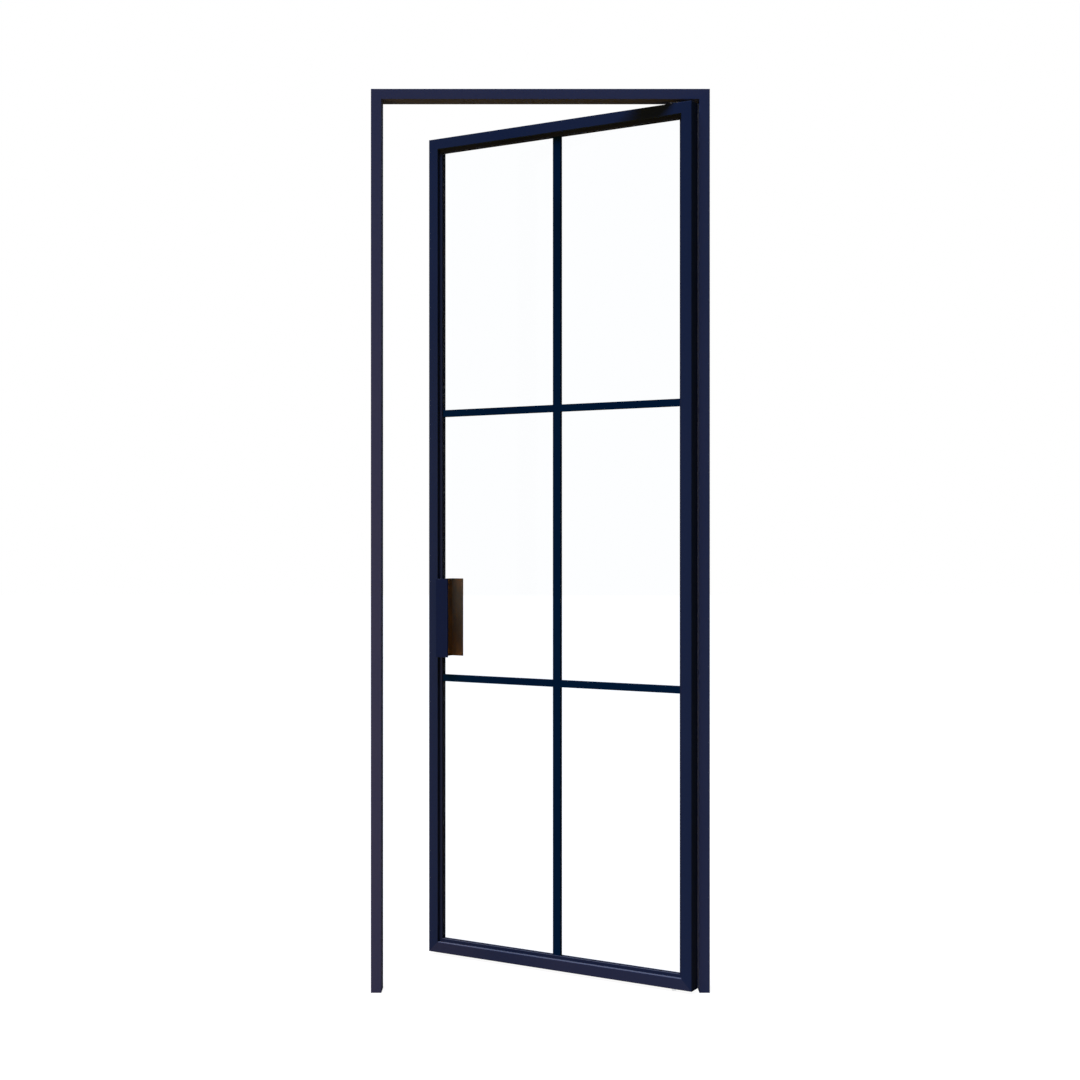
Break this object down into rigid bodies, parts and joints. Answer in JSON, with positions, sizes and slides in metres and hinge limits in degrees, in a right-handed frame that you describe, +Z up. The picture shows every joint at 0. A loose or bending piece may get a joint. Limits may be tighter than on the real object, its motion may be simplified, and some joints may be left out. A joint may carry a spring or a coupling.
{
  "type": "steel interior door",
  "caption": "Glazed steel interior door: a slim tube leaf with a barred clear pane and angle grips, pivot-hung in a plain tube frame without threshold.",
  "frame": {"origin": "on the floor, in the middle of the frame's width and depth", "axes": "+X towards the pivot side, +Y the way the leaf stands open, +Z up"},
  "size_m": [0.9, 0.4509, 2.406],
  "materials": {
    "frame_coat": "satin powder coat, dark navy black",
    "leaf_coat": "satin powder coat, dark navy black",
    "pivot_steel": "turned and milled stainless steel",
    "bush_bronze": "turned bearing bronze",
    "clear_glass": "clear toughened glass",
    "tape_rubber": "black foam tape",
    "screw_black": "black oxide"
  },
  "bodies": {
    "frame": {"left_jamb": "frame_coat", "right_jamb": "frame_coat", "head": "frame_coat", "jamb_foot_plates": "frame_coat", "head_pivot_block": "pivot_steel", "floor_pivot_plate": "pivot_steel", "floor_pivot_pin": "pivot_steel", "head_pivot_bush": "bush_bronze"},
    "leaf": {"free_stile": "leaf_coat", "pivot_stile": "leaf_coat", "top_rail": "leaf_coat", "bottom_rail": "leaf_coat", "front_bead_top": "leaf_coat", "front_bead_bottom": "leaf_coat", "front_bead_free_side": "leaf_coat", "front_bead_pivot_side": "leaf_coat", "rear_bead_top": "leaf_coat", "rear_bead_bottom": "leaf_coat", "rear_bead_free_side": "leaf_coat", "rear_bead_pivot_side": "leaf_coat", "front_mullion": "leaf_coat", "rear_mullion": "leaf_coat", "front_transom_upper_free_side": "leaf_coat", "front_transom_upper_pivot_side": "leaf_coat", "front_transom_lower_free_side": "leaf_coat", "front_transom_lower_pivot_side": "leaf_coat", "rear_transom_upper_free_side": "leaf_coat", "rear_transom_upper_pivot_side": "leaf_coat", "rear_transom_lower_free_side": "leaf_coat", "rear_transom_lower_pivot_side": "leaf_coat", "front_grip": "leaf_coat", "rear_grip": "leaf_coat", "front_grip_packer": "leaf_coat", "rear_grip_packer": "leaf_coat", "bottom_pivot_block": "pivot_steel", "top_pivot_block": "pivot_steel", "top_pivot_pin": "pivot_steel", "bottom_pivot_bush": "bush_bronze", "glass_pane": "clear_glass", "setting_blocks": "tape_rubber", "front_glazing_tape": "tape_rubber", "front_bar_tape": "tape_rubber", "rear_glazing_tape": "tape_rubber", "rear_bar_tape": "tape_rubber", "front_grip_screws": "screw_black", "rear_grip_screws": "screw_black"}
  },
  "joints": [
    {"name": "door_swing", "type": "hinge", "parent": "frame", "child": "leaf", "pos_m": [0.357, 0, 0], "axis": [0, 0, -1], "range_deg": [-120, 60]}
  ]
}
